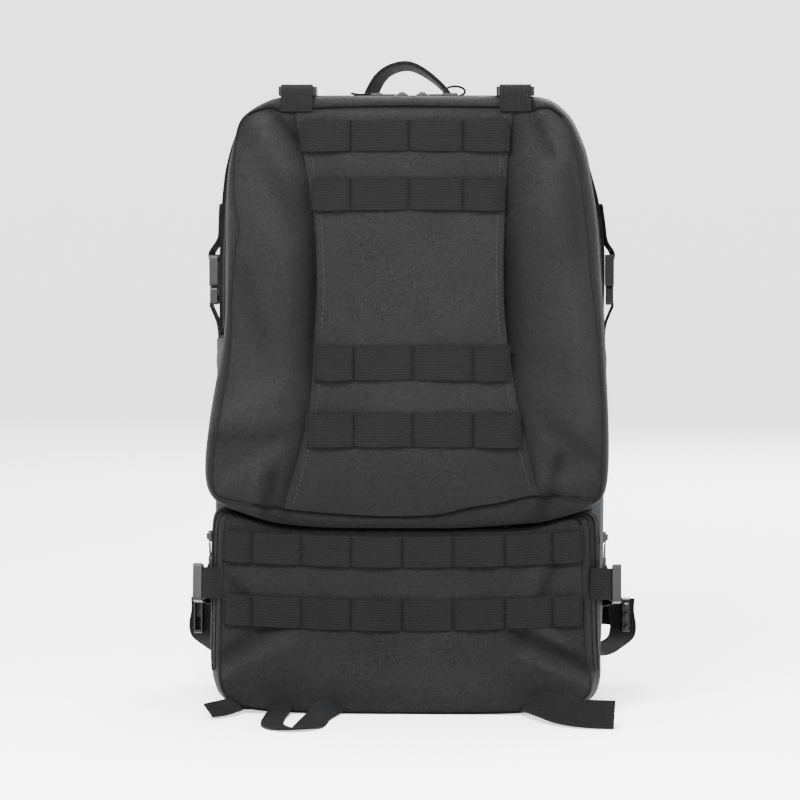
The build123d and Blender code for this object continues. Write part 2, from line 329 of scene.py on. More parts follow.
def woven(name, colour, pitch=1.05, grain=1.0, gloss=0.072):
    """Coated woven nylon: a plain weave with slubs and specks, its colour and gloss darkened where a skin's
    fold attribute holds painted shade, and lightened where it holds painted highlight.
    """
    n = Nodes(name, colour, 0.65, gloss, 0.02)
    u, v = n.uv()
    weave = n.math("MULTIPLY", n.wave(u, pitch), n.wave(v, pitch))
    slub = n.noise(620.0, 4.0)
    height = n.math("MULTIPLY_ADD", weave, 0.4, n.math("MULTIPLY", slub, 2.2))
    speck = n.math("MULTIPLY_ADD", n.noise(700.0, 3.0), 1.15, -0.32)
    # The fold attribute holds painted shade: at 1 it takes the colour to its darkest and the gloss away,
    # below 0 it lightens them as painted highlight.
    unshaded_cloth = n.math("SUBTRACT", 1.0, n.attribute("fold"))
    mix = n.math("MULTIPLY_ADD", n.noise(14.0, 4.0), 0.5, speck)
    n.mottle(n.math("MULTIPLY", mix, unshaded_cloth), 0.7)
    shine = n.math("MULTIPLY", n.math("MULTIPLY_ADD", speck, 1.6 * gloss, 0.6 * gloss), unshaded_cloth)
    n.feed(n.shader.inputs["Specular IOR Level"], shine)
    n.rough(slub, 0.5, 0.78)
    n.bump(height, 0.5 * grain, 0.9)
    return n.material


def webbed(name, colour, rib=1.45):
    """Flat nylon webbing: ribs along its length, crossed by fine picks."""
    n = Nodes(name, colour, 0.62, 0.045, 0.02)
    u, v = n.uv()
    ribs = n.math("ABSOLUTE", n.wave(v, rib * 2))
    picks = n.math("ABSOLUTE", n.wave(u, 2.4))
    height = n.math("MULTIPLY_ADD", picks, 0.7, ribs)
    shade = n.math("MULTIPLY_ADD", height, 0.45, n.math("MULTIPLY", n.noise(30.0), 0.4))
    # The fold attribute holds painted shade: it darkens the webbing's colour and gloss, as beside the
    # bartacks.
    unshaded_web = n.math("SUBTRACT", 1.0, n.attribute("fold"))
    n.mottle(n.math("MULTIPLY", shade, unshaded_web), 0.7)
    n.feed(n.shader.inputs["Specular IOR Level"], n.math("MULTIPLY", unshaded_web, 0.05))
    n.bump(height, 0.42, 0.9)
    return n.material


def moulded(name, colour, roughness=0.38):
    """Moulded plastic with a fine spark-eroded grain."""
    n = Nodes(name, colour, roughness, 0.2)
    grain = n.noise(2200.0, 2.0)
    n.mottle(n.noise(60.0), 0.25)
    n.rough(n.noise(90.0, 4.0), roughness - 0.1, roughness + 0.16)
    n.bump(grain, 0.05, 0.5)
    return n.material


def spacer(name, colour):
    """Knitted spacer mesh: rows of small open cells over foam."""
    n = Nodes(name, colour, 0.9, 0.12, 0.03)
    cells = n.node("TexVoronoi", Scale=330.0, Randomness=0.25, Vector=n.coords.outputs["Object"])
    hole = n.math("SMOOTH_MIN", cells.outputs["Distance"], 0.55, 0.2)
    n.mottle(n.math("SUBTRACT", 1.2, n.math("MULTIPLY", hole, 1.6)), 0.5)
    n.bump(n.math("SUBTRACT", 1.0, hole), 0.9, 0.8)
    return n.material


def metal(name, colour, roughness):
    """Metal with a fine, slightly uneven grain."""
    n = Nodes(name, colour, roughness, 0.5, 0.0, 1.0)
    n.rough(n.noise(400.0, 5.0), roughness - 0.08, roughness + 0.12)
    n.mottle(n.noise(35.0), 0.12)
    n.bump(n.noise(700.0), 0.03, 0.4)
    return n.material


def thread(name, colour):
    """Bonded sewing thread with a rough surface."""
    n = Nodes(name, colour, 0.7, 0.06, 0.02)
    n.mottle(n.noise(1500.0), 0.3)
    n.bump(n.noise(2600.0), 0.12, 0.7)
    return n.material


SHELL_CLOTH = woven("shell_cloth", (0.0046, 0.0046, 0.0047))
PANEL_CLOTH = woven("panel_cloth", (0.0052, 0.0052, 0.0053), pitch=0.95)
# Near-black cord colour standing for the shadow in a seam's crease: painted shadow.
SEAM_SHADOW = woven("seam_painted_shadow", (0.0012, 0.0012, 0.0012), pitch=0.8, gloss=0.03)
LINING = woven("lining", (0.03, 0.031, 0.033), pitch=0.7, grain=0.5)
BINDING = webbed("binding_tape", (0.005, 0.005, 0.0052), 0.8)
WEBBING = webbed("webbing", (0.0023, 0.0023, 0.0024), 2.0)
ELASTIC = webbed("elastic", (0.005, 0.005, 0.0052), 0.9)
SPACER = spacer("spacer_mesh", (0.009, 0.009, 0.0095))
PLASTIC = moulded("buckle_plastic", (0.0045, 0.0045, 0.0047), 0.4)
SHEET_PLASTIC = moulded("frame_plastic", (0.06, 0.06, 0.062), 0.5)
ALUMINIUM = metal("stay_aluminium", (0.72, 0.73, 0.75), 0.35)
SLIDER_METAL = metal("slider_metal", (0.022, 0.022, 0.023), 0.45)
COIL = moulded("zip_coil", (0.004, 0.004, 0.004), 0.42)
TAPE = woven("zip_tape", (0.002, 0.002, 0.0021), pitch=0.8)
THREAD = thread("thread", (0.014, 0.014, 0.015))
DARK_THREAD = thread("dark_thread", (0.0015, 0.0015, 0.0015))


def place(obj, body, material, *nodes):
    """Rides a piece on its body, with its material and the CAD nodes that it stands for."""
    obj.data.materials.clear()
    obj.data.materials.append(material)
    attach(obj, body)
    if nodes:
        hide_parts(*nodes)


# Straps, piping and stitches

def ribbon(name, path, across, width, thick):
    """A flat strap along a path, with its width along one direction for each point."""
    side = unit(across)
    return cloth(name, [path + side * width * (c / 6 - 0.5) for c in range(7)], thick)


def tube(name, path, radius, closed=False, sides=10):
    """A round bead along a path."""
    path = np.array(path, float)
    ahead, behind = np.roll(path, -1, axis=0), np.roll(path, 1, axis=0)
    if not closed:
        ahead[-1], behind[0] = path[-1], path[0]
    along = unit(ahead - behind)
    up = unit(np.cross(along, (0.13, 0.97, 0.2)))
    over = np.cross(along, up)
    turns = np.linspace(0, 2 * math.pi, sides, endpoint=False)
    rows = np.stack([path + radius * (math.cos(a) * up + math.sin(a) * over) for a in turns], axis=1)
    if closed:
        rows = np.vstack([rows, rows[:1]])
    obj = make(name, *grid(rows, closed=True))
    if not closed:
        with edited(obj) as bm:
            bmesh.ops.holes_fill(bm, edges=[e for e in bm.edges if e.is_boundary])
    return obj


def stitches(name, paths, pitch=3.4, length=2.5, radius=0.38, normal=(0, -1, 0)):
    """Rows of sewn stitches: a small closed bead for each."""
    verts, faces = [], []
    n = Vector(normal).normalized()
    for path in paths:
        pts = np.array(path, float)
        spots = evenly(pts, max(2, int(length_of(pts) / pitch)))
        for a, b in zip(map(Vector, spots[:-1]), map(Vector, spots[1:])):
            along = (b - a).normalized()
            side = along.cross(n).normalized()
            middle = (a + b) / 2
            base = len(verts)
            for t, r in ((-0.5, 0.35), (-0.25, 1.0), (0.25, 1.0), (0.5, 0.35)):
                for s, h in ((-1, -0.6), (-0.7, 0.7), (0.7, 0.7), (1, -0.6)):
                    verts.append(middle + along * t * length + side * s * r * radius + n * h * r * radius)
            for k in range(3):
                for j in range(4):
                    i, m = base + k * 4 + j, base + k * 4 + (j + 1) % 4
                    faces.append((i, m, m + 4, i + 4))
            faces += [(base + 3, base + 2, base + 1, base), (base + 12, base + 13, base + 14, base + 15)]
    return make(name, [tuple(v) for v in verts], faces)


def zigzag(x, z_low, z_high, y, width=1.8, pitch=1.2):
    """The path of a bartack: a tight zigzag between two heights."""
    count = int((z_high - z_low) / pitch)
    return [(x + width * (0.5 if k % 2 else -0.5), y, z_low + k * pitch) for k in range(count + 1)]


# The pack's outlines, as seen from the front: X and Z, anticlockwise from the bottom centre

POCKET_SEAM = loop([
    (0, 159), (30, 161), (48, 166.5), (74, 170), (98, 176), (108, 176), (112, 174), (117, 178), (134, 173),
    (147, 170.5), (153, 173), (155.5, 181), (156, 200), (156, 240), (153, 296), (147, 350), (143, 392),
    (139, 426), (136, 443), (132, 458), (129, 467), (125, 473), (119, 478.5), (112, 483), (104, 482),
    (100, 479.5), (92, 482.5), (60, 483), (0, 484), (-60, 483), (-88, 480.5), (-98, 479), (-106, 483.5),
    (-117, 480.5), (-127, 475.5), (-131, 470), (-133.5, 461), (-136, 448), (-137, 420), (-136, 405),
    (-131.5, 388), (-136, 372), (-138, 350), (-139, 331), (-139, 300), (-142, 272), (-148, 242),
    (-153, 212), (-155, 192), (-153.5, 178), (-147, 172.5), (-131, 169.5), (-116, 168), (-110, 165.5),
    (-104, 167.5), (-96, 164.5), (-60, 161.5), (-30, 159.5)])
POCKET_OUT = loop([
    (0, 149), (45, 149), (90, 152.5), (108, 154), (130, 160), (148, 166), (158, 176), (161, 192),
    (161, 215), (160, 240), (157.5, 300), (154, 355), (151, 394), (146.5, 426), (142, 448), (136.5, 461),
    (133.5, 468), (129.5, 475), (123, 482), (115, 488), (104, 491), (80, 492), (0, 492), (-80, 492),
    (-102, 490.5), (-112, 487), (-122, 481.5), (-129, 476), (-132, 470.5), (-134.5, 463), (-138, 450),
    (-142, 432), (-143.5, 400), (-143, 331), (-145, 300), (-150, 272), (-156, 242), (-160, 212),
    (-160.5, 190), (-157.5, 177), (-149, 167.5), (-127, 159.5), (-108, 153.5), (-88, 151), (-60, 149)])
SHELL_OUT = loop([
    (0, 1.8), (116, 1.8), (146, 4), (156, 30), (158, 100), (158.5, 190), (159, 300), (159.5, 350),
    (159, 380), (154.5, 410), (150.5, 424), (147, 436), (143, 449), (137, 461), (130, 473), (118, 483),
    (100, 488.5), (76, 490.5), (0, 490.5), (-76, 490.5), (-104, 488), (-124, 482), (-136, 474),
    (-143, 466), (-147, 456), (-150, 446), (-153, 434), (-155, 420), (-156.5, 405), (-157.5, 375),
    (-158.5, 350), (-158.5, 300), (-158, 190), (-158, 100), (-156, 30), (-146, 4), (-116, 1.8)])
LOWER_SEAM = loop([
    (0, 0.9), (80, 1.2), (108, 4), (130, 7.5), (144, 13), (148, 25), (143, 42), (141, 95), (140, 148),
    (138, 157), (128, 157), (114, 152), (96, 148), (60, 147), (0, 147), (-60, 147), (-98, 148),
    (-118, 153), (-134, 158), (-144, 160), (-146, 148), (-148, 95), (-150, 42), (-149, 21), (-140, 8),
    (-123, 3.6), (-92, 1.4)])
LOWER_OUT = loop([
    (0, 0.6), (100, 0.6), (130, 2.5), (149, 10), (155, 25), (155, 45), (154, 95), (154, 148), (152, 161),
    (140, 161), (122, 156), (104, 151), (80, 149), (0, 148.4), (-80, 149), (-104, 151), (-122, 156),
    (-142, 162), (-154, 163), (-157, 148), (-157, 95), (-158, 45), (-156, 25), (-149, 9), (-128, 2.5),
    (-100, 0.6)])

LEFT_EDGE = [
    (-90, 487), (-81, 449), (-73.5, 405), (-71, 379), (-70, 332), (-73, 295), (-74.5, 257), (-81.5, 217),
    (-98, 160)]
RIGHT_EDGE = [
    (85.5, 487), (80.5, 448), (77.5, 401), (76.5, 332), (80.5, 295), (87, 257), (92.5, 220), (106, 168)]


def edge_at(points, z):
    """Where a centre panel edge lies at a height."""
    pts = smooth(points, 3)[::-1]
    return np.interp(z, pts[:, 1], pts[:, 0])


def side_at(outline, z, side):
    """Where an outline's left or right side lies at a height."""
    half = outline[outline[:, 0] * side > 40]
    half = half[np.argsort(half[:, 1])]
    return np.interp(z, half[:, 1], half[:, 0])


def sole_at(outline, x):
    """The height of an outline's lower side at each X."""
    half = outline[outline[:, 1] < outline[:, 1].mean() - 60]
    half = half[np.argsort(half[:, 0])]
    return np.interp(x, half[:, 0], half[:, 1])


def ridges(x, z, folds):
    """Height of a set of folds: each has a start, an end, a width and a height."""
    total = np.zeros_like(x)
    for (x0, z0), (x1, z1), width, height in folds:
        size = math.hypot(x1 - x0, z1 - z0)
        dx, dz = (x1 - x0) / size, (z1 - z0) / size
        along = (x - x0) * dx + (z - z0) * dz
        off = (x - x0) * dz - (z - z0) * dx
        past = np.clip(np.abs(along - size / 2) - size / 2, 0, None) / (width * 1.6)
        total += height * np.exp(-(off / width) ** 2 - past ** 2)
    return total


POCKET_FOLDS = [
    ((-108, 484), (-85, 455), 4.5, -3.4), ((-121, 479), (-88, 432), 7, 2.2),
    ((-128, 470), (-92, 404), 9, -1.8), ((-116, 450), (-98, 380), 12, 1.6),
    ((-128, 350), (-112, 300), 8, -1.6), ((-150, 240), (-104, 262), 9, 2.0),
    ((-148, 222), (-100, 226), 7, -2.2), ((-140, 190), (-100, 214), 8, 2.2),
    ((-111, 166), (-104, 192), 4.5, -3.0), ((-124, 170), (-116, 196), 5, 1.8),
    ((99, 482), (115, 450), 5, -3.2), ((108, 480), (124, 446), 6, 2.2), ((118, 460), (112, 410), 9, 1.8),
    ((132, 448), (134, 380), 7, -1.6), ((98, 385), (102, 290), 13, -1.6),
    ((130, 340), (142, 250), 10, 1.6), ((112, 240), (148, 206), 8, -2.2), ((112, 188), (146, 198), 7, 2.4),
    ((112, 174), (122, 206), 4.5, -3.0), ((100, 178), (106, 200), 5, 1.4)]
LOWER_FOLDS = [
    ((-149, 32), (-96, 58), 7, 3.2), ((-146, 47), (-106, 72), 6, -3.0), ((-144, 112), (-128, 94), 4, -2.6),
    ((148, 24), (98, 46), 7, 4.2), ((142, 40), (92, 62), 6, -4.0), ((122, 60), (98, 74), 6, 2.4),
    ((118, 120), (110, 100), 5, -2.4), ((104, 122), (98, 100), 6, 1.4), ((-60, 32), (60, 26), 13, 1.2)]


def panel_share(x, z):
    """Where a place on the upper pocket's front lies: 0 at the centre panel, 1 at the side seam."""
    inner = np.where(x < 0, edge_at(LEFT_EDGE, z), edge_at(RIGHT_EDGE, z))
    outer = np.where(x < 0, side_at(POCKET_SEAM, z, -1), side_at(POCKET_SEAM, z, 1))
    return (x - inner) / (outer - inner)


def front_depth(x, z):
    """How far the upper pocket's front stands forward of its seam."""
    share = panel_share(x, z)
    full = 6.5 + 5.0 * np.exp(-((z - 275) / 85) ** 2)
    valley = 2.5 + 6.0 * np.exp(-((z - 345) / 75) ** 2)
    swell = full * np.sin(math.pi * np.clip(share, 0, 1) ** 0.8)
    swell -= valley * np.exp(-((share - 0.05) / 0.17) ** 2)
    return np.where(share > 0, swell, -2.5) + ridges(x, z, POCKET_FOLDS) * (share > 0.02)


def domed(seam, centre, y, depth, rings=52):
    """Rows from the middle of a front panel out to its seam."""
    rows = []
    for t in np.append(np.linspace(0.0005, 0.985, rings) ** 0.8, (0.994, 1.0)):
        x = centre[0] + (seam[:, 0] - centre[0]) * t
        z = centre[1] + (seam[:, 1] - centre[1]) * t
        fade = np.clip((1 - t) / 0.1, 0, 1)
        groove = 1.6 * math.exp(-((1 - t) / 0.008) ** 2)
        rows.append(np.stack([x, y + groove - depth(x, z) * fade * (2 - fade), z], axis=1))
    return rows


def bulged(outline, amount):
    """An outline moved outward by a distance."""
    return outline + outward(outline) * amount


def pocket_outline(y):
    """The upper pocket's outline at a depth: out from the seam, a slight tuck at the zip, a billow behind."""
    if y < FRONT + WRAP:
        t = (y - FRONT) / WRAP
        return POCKET_SEAM + (POCKET_OUT - POCKET_SEAM) * math.sqrt(1 - (1 - t) ** 2)
    if y < POCKET_ZIP:
        return bulged(POCKET_OUT, -1.5 * (y - FRONT - WRAP) / (POCKET_ZIP - FRONT - WRAP))
    t = (y - POCKET_ZIP) / (DIVIDER - POCKET_ZIP)
    return bulged(POCKET_OUT, -1.5 + 2.0 * math.sin(math.pi * t))


def mouth_outline(y):
    """The mouth gusset's outline behind the divider, which meets the shell's rim at the main zip."""
    t = (y - DIVIDER) / (MAIN_ZIP - DIVIDER)
    ease = t * t * (3 - 2 * t)
    front, back = bulged(POCKET_OUT, -1.5), bulged(SHELL_OUT, -6.0)
    return bulged(front + (back - front) * ease, 1.6 * math.sin(math.pi * t))


def shell_outline(y):
    """The main compartment's outline behind the divider, flaring from the pocket's side seam."""
    t = min(1.0, (y - DIVIDER) / 24.0)
    wide = bulged(SHELL_OUT, -3.5 * (1 - t) + 0.8 * math.sin(math.pi * t))
    if y > BACK - 8:
        s = min(1.0, (y - BACK + 8) / 9.0)
        return bulged(wide, -5.0 * (1 - math.sqrt(1 - s * s)))
    return wide


def shell_below_fold(y):
    """The shell's outline, its sides drawn in to the mouth's just below the fold, as a zip's garage does."""
    path = shell_outline(y).copy()
    reach = np.clip((MAIN_ZIP + 8 - y) / 10, 0, 1)
    for sign in (-1, 1):
        near = (path[:, 0] * sign > 100) & (path[:, 1] > FOLD - 46)
        drop_t = np.clip((FOLD - path[near, 1]) / 44, 0, 1)
        ease = 1 - drop_t * drop_t * (3 - 2 * drop_t)
        drawn = side_at(mouth_outline(min(y, MAIN_ZIP)), path[near, 1], sign)
        path[near, 0] += (drawn - path[near, 0]) * ease * reach
    return path


def lower_outline(y):
    """The lower pocket's outline at a depth: its gusset splays out past the zip."""
    t = min(1.0, (y - LOWER_FRONT) / 18.0)
    path = LOWER_SEAM + (LOWER_OUT - LOWER_SEAM) * t ** 0.7
    s = (y - LOWER_FRONT - 18.0) / (DIVIDER - LOWER_FRONT - 18.0)
    return bulged(path, -1.5 * s) if s > 0 else path


def sweep(outline, y0, y1, steps):
    """Rows of an outline taken from one depth to another."""
    return [level(outline(y), y) for y in np.linspace(y0, y1, steps)]


def face_uv(verts):
    """Cloth UVs for a panel that faces the front: width and height, with depth added at the sides."""
    v = np.array(verts)
    return np.stack([v[:, 0] + 0.7 * v[:, 1], v[:, 2] + 0.7 * v[:, 1]], axis=1)


def calm_ground(verts):
    """How much of each vertex stays as it is, so that the base keeps flat on the ground."""
    return np.clip(1 - (verts[:, 2] - 2) / 14, 0, 1)


def skin(name, rows, amount, seed, calm=None):
    """A closed-row skin with crumpled cloth."""
    verts, faces, _ = grid(rows, closed=True)
    moved = crumple(verts, amount, seed)
    if calm is not None:
        keep = calm(verts)[:, None]
        moved = verts * keep + moved * (1 - keep)
    return make(name, moved, [f[::-1] for f in faces], face_uv(verts))


def paint_shade(obj, darkness):
    """Stores painted shade for each vertex in the fold attribute, for the cloth's material: 1 is full painted
    shade, as deep in a fold; below 0 is painted highlight, as on a raised fold.
    """
    co = np.array([v.co for v in obj.data.vertices]) / MM
    layer = obj.data.attributes.new("fold", "FLOAT", "POINT")
    layer.data.foreach_set("value", darkness(co[:, 0], co[:, 1], co[:, 2]).astype(np.float32))


def foot_shade(z):
    """Darkness of the upper pocket's front towards its foot, where it turns from the light."""
    return 0.3 * np.clip((235 - z) / 70, 0, 1)


def pocket_painted_shade(x, y, z):
    """Painted shade in the valleys beside the centre panel and towards the foot, painted shade and highlight
    on the small folds of the upper pocket's front, and an even painted shade on its sides behind the front.
    """
    share = panel_share(x, z)
    valley = 0.5 * np.exp(-((share - 0.02) / 0.2) ** 2 - ((z - 345) / 70) ** 2)
    valley += 0.25 * np.exp(-(share / 0.12) ** 2)
    low = foot_shade(z)
    shade = valley + low - 0.11 * ridges(x, z, POCKET_FOLDS)
    # Behind the front the sides get an even painted shade, deeper towards the foot.
    return np.where(y < FRONT + 8, np.clip(shade, -0.3, 0.9), 0.15 + low)


def lower_painted_shade(x, y, z):
    """An even painted shade over the lower pocket, with painted shade and highlight on the small folds of its
    front.
    """
    shade = 0.12 - 0.09 * ridges(x, z, LOWER_FOLDS)
    return np.where(y < LOWER_FRONT + 6, np.clip(shade, -0.3, 0.8), 0.1)


def upper_pocket():
    """The upper pocket's skin and the mouth behind it, cut at the fold and at the zips."""
    rows = domed(POCKET_SEAM, (0, 320), FRONT, front_depth)
    rows += sweep(pocket_outline, FRONT + 0.3, FRONT + WRAP, 9)
    rows += sweep(pocket_outline, FRONT + WRAP + 2, POCKET_ZIP - ZIP_GAP, 5)
    behind = sweep(pocket_outline, POCKET_ZIP + ZIP_GAP, DIVIDER, 14)
    lid = skin("lid", rows, SLACK, POCKET_SEED)
    whole = skin("pocket", rows + behind, SLACK, POCKET_SEED)
    mouth = skin("mouth", behind + sweep(mouth_outline, DIVIDER + 2, MAIN_ZIP, 20), SLACK, POCKET_SEED)
    # Painted shade and highlight on the upper pocket's skins.
    for work in (lid, whole):
        paint_shade(work, pocket_painted_shade)
    for work, name, away, body, node in ((lid, "upper_front_skin", DOWN, "upper_front", "upper_lid"),
                                         (whole, "upper_pocket_skin", UP, "root", "upper_pocket_base"),
                                         (mouth, "mouth_gusset_skin", DOWN, "main_mouth", "mouth_gusset")):
        place(thicken(part_of(work, name, (AT_FOLD, away))), body, SHELL_CLOTH, node)
    drop(lid, whole, mouth)


def centre_panel():
    """The raised hourglass panel, in two pieces that meet at the fold, with its stitching."""
    halves = ("upper", "upper_front", FOLD, PANEL_TOP), ("lower", "root", PANEL_FOOT, FOLD)
    for name, body, z0, z1 in halves:
        zs = np.linspace(z0, z1, 60)
        rows = []
        for z, left, right in zip(zs, edge_at(LEFT_EDGE, zs), edge_at(RIGHT_EDGE, zs)):
            u = np.linspace(0, 1, 81)
            x = left + (right - left) * u
            rim = np.exp(-(np.minimum(x - left, right - x) / 1.5) ** 2)
            swell = 2.2 * np.sin(math.pi * u) + 0.6 * np.sin(x / 23.0 + z / 31.0)
            swell += 0.5 * np.sin(z / 14.0 + x / 60.0)
            top = math.exp(-((PANEL_TOP - z) / 3.0) ** 2)
            y = FRONT - 1.4 - swell * (1 - rim) * (1 - top) + 2.4 * rim + 3.4 * top
            low = 0.0
            if name == "lower":
                low = (sole_at(POCKET_SEAM, x) + 0.8 - z0) * ((FOLD - z) / (FOLD - z0)) ** 2
            rows.append(np.stack([x, y, z + low * np.ones_like(x)], axis=1))
        verts, faces, _ = grid(rows)
        panel = make(f"hourglass_{name}_panel", verts, faces, face_uv(verts))
        # Painted shade on the hourglass panel towards its foot.
        paint_shade(panel, lambda x, y, z: foot_shade(z))
        place(thicken(panel, 1.4), body, PANEL_CLOTH, f"hourglass_{name}")
        lines = [np.array(rows)[2:-2, c] - (0, 0.5, 0) for c in (3, 77)]
        place(stitches(f"hourglass_{name}_stitches", lines), body, THREAD)


def webbing(name, pieces, body, node):
    """Several straps as one piece of webbing that stands for a CAD node."""
    place(joined(name, pieces, weld=False), body, WEBBING, node)


def pals_row(name, body, x0, x1, z, tacks, y, sag=0.0, height=25.4):
    """One row of attachment webbing: a strip bowed out between its bartacks."""
    xs = np.linspace(x0, x1, int((x1 - x0) / 1.5))
    ends = np.array([x0 + 3, *tacks, x1 - 3])
    bow = np.zeros_like(xs)
    for a, b in zip(ends[:-1], ends[1:]):
        inside = (xs >= a) & (xs <= b)
        bow[inside] = np.sin(math.pi * (xs[inside] - a) / (b - a)) ** 0.28
    dip = -sag * np.cos(math.pi * (xs - (x0 + x1) / 2) / (x1 - x0))
    rows = []
    for v in np.linspace(-0.5, 0.5, 9):
        edge = 0.6 * bow * math.cos(v * math.pi) ** 0.5 if abs(v) < 0.5 else 0.0
        wave = (1.1 + 0.7 * np.sin(xs / 15.0 + z)) * bow * (0.5 - v)
        depth, up = y + 1.0 - 1.9 * bow - edge - wave, z + v * height + dip - 0.7 * bow
        rows.append(np.stack([xs, depth, up], axis=1))
    verts, faces, uv = grid(rows)
    strip = make(name, verts, faces, uv)
    # Painted shade on the strip beside each bartack, where it is pinched in.
    sewn = np.array(tacks)[None, :]
    paint_shade(strip, lambda x, y, z: 0.5 * np.exp(-((x[:, None] - sewn) / 1.2) ** 2).max(axis=1))
    thicken(strip, 1.5, 0.0)
    half = height / 2 - 1.2
    paths = []
    for t in (x0 + 2.2, x0 + 5.6, *tacks, x1 - 5.6, x1 - 2.2):
        shift = np.interp(t, xs, dip)
        paths.append(zigzag(t, z - half + shift, z + half + shift, y + 0.15))
    place(stitches(f"{name}_bartacks", paths, 1.7, 1.9, 0.42), body, DARK_THREAD)
    return strip


def pals():
    """All six rows of attachment webbing."""
    rows = {"top": ("upper_front", [(460, 23.5, (-43.5, 2.4, 45)), (414, 24.5, (-43.5, 2.4, 45))]),
            "middle": ("root", [(281, 26.5, (-41, 5.5, 53)), (228, 26, (-41, 5.5, 53))])}
    for group, (body, members) in rows.items():
        strips = []
        for k, (z, height, tacks) in enumerate(members):
            x0, x1 = edge_at(LEFT_EDGE, z) + 0.6, edge_at(RIGHT_EDGE, z) - 0.6
            strips.append(pals_row(f"pals_{group}_{k}", body, x0, x1, z, tacks, FRONT - 4.4, -1.0, height))
        webbing(f"pals_rows_{group}_webbing", strips, body, f"pals_rows_{group}")
    tacks = (-123.2, -83.7, -44.2, -3.2, 37.1, 78.2, 116.1)
    strips = [pals_row(f"pals_lower_{k}", "lower_front", -146.5, 140, z, tacks, LOWER_FRONT - 3.8, 4.6, 24.5)
              for k, z in enumerate((135.5, 85))]
    webbing("pals_rows_lower_webbing", strips, "lower_front", "pals_rows_lower")


def lower_depth(x, z):
    """How far the lower pocket's front stands forward of its seam."""
    side = np.clip(1 - (np.abs(x + 3) / 148) ** 2, 0, 1)
    up = np.clip(1 - ((z - 74) / 74) ** 2, 0, 1)
    return 3.6 * side ** 0.5 * up ** 0.5 + ridges(x, z, LOWER_FOLDS)


def lower_pocket():
    """The lower pocket's skin, cut at its sill and its zip."""
    front = domed(LOWER_SEAM, (0, 74), LOWER_FRONT, lower_depth, 38)
    front += sweep(lower_outline, LOWER_FRONT + 0.3, POCKET_ZIP - ZIP_GAP, 6)
    behind = sweep(lower_outline, POCKET_ZIP + ZIP_GAP, DIVIDER, 18)
    lid, rear = (skin(name, rows, LOWER_SLACK, LOWER_SEED, calm_ground)
                 for name, rows in (("lid", front), ("rear", behind)))
    # Painted shade and highlight on the lower pocket's skins.
    for work in (lid, rear):
        paint_shade(work, lower_painted_shade)
    body = joined("lower_pocket_skin", [part_of(lid, "lower_sill", (AT_SILL, UP)), rear])
    flap = part_of(lid, "lower_front_skin", (AT_SILL, DOWN))
    y = LOWER_FRONT + 3.0
    hem = strap("lower_sill_hem", [(x, y, SILL + 1, 0, -1, 0) for x in (-140, -70, 0, 70, 136)], 13, 1.2)
    place(hem, "root", BINDING)
    place(thicken(flap), "lower_front", SHELL_CLOTH, "lower_lid")
    place(thicken(body), "root", SHELL_CLOTH, "lower_pocket_shell")
    drop(lid)


def flat(x, z):
    """No depth: a panel that is flat."""
    return np.zeros_like(x)


def rear_shell():
    """The main compartment's skin behind the pockets, open above the fold ahead of the main zip."""
    whole, garage = (skin(name, sweep(outline, DIVIDER, BACK + 1, 40), SLACK, POCKET_SEED, calm_ground)
                     for name, outline in (("rear", shell_outline), ("garage", shell_below_fold)))
    low = part_of(garage, "rear_low", (AT_FOLD, UP))
    high = part_of(whole, "rear_high", (AT_FOLD, DOWN), ((0, MAIN_ZIP + 1.2, 0), (0, -1, 0)))
    shell = joined("main_shell_skin", [low, high])
    place(thicken(shell), "root", SHELL_CLOTH, "main_shell")
    drop(whole, garage)
    rim = shell_outline(BACK + 1)
    verts, faces, _ = grid(domed(rim, (0, 245), BACK + 1, flat, 20), closed=True)
    panel = make("back_panel_cloth", verts, faces, face_uv(verts))
    place(thicken(panel), "root", SHELL_CLOTH, "back_panel")
    place(tube("back_piping", level(rim, BACK + 0.6), 2.2, closed=True), "root", BINDING)


def above(path, z, low=True):
    """The run of an outline above (or below) a height, in order, as a path of X and Z."""
    keep = path[:, 1] > z if low else path[:, 1] < z
    start = int(np.argmax(keep & ~np.roll(keep, 1)))
    rolled, flags = np.roll(path, -start, axis=0), np.roll(keep, -start)
    return rolled[flags]


def seam_cord(name, body, run, y, limit, amount, seed):
    """The turned edge along one run of a front seam: a fine cord past the limit, and within it a near-black
    cord that stands for the shadow in the seam's crease, a painted shadow.
    """
    flank = np.abs(run[:, 0]) > limit
    turns = [0, *(np.flatnonzero(np.diff(flank.astype(int))) + 1), len(run)]
    for k, (a, b) in enumerate(zip(turns[:-1], turns[1:])):
        path = crumple(level(run[max(a - 1, 0):b + 1], y + 0.6), amount, seed)
        side = flank[(a + b) // 2]
        cord = tube(f"{name}_seam_{body}_{k}", path, 0.7 if side else 1.0)
        # Within the limit the cord is near-black: a painted shadow in the crease.
        place(cord, body, BINDING if side else SEAM_SHADOW)


def seam_cords():
    """The turned edges of both front seams, each in the run that opens and the run that stays."""
    pocket, lower = (FRONT, 122, SLACK, POCKET_SEED), (LOWER_FRONT, 139, LOWER_SLACK, LOWER_SEED)
    seam_cord("pocket", "upper_front", above(POCKET_SEAM, FOLD), *pocket)
    seam_cord("pocket", "root", above(POCKET_SEAM, FOLD, False), *pocket)
    seam_cord("lower", "lower_front", above(LOWER_SEAM, SILL), *lower)
    seam_cord("lower", "root", above(LOWER_SEAM, SILL, False), *lower)


def on_skin(outline, y, lift, cut, seed):
    """The run of a skin's outline above a height, at a depth, lifted off it and crumpled with it."""
    return crumple(level(above(bulged(outline(y), lift), cut), y), SLACK, seed)


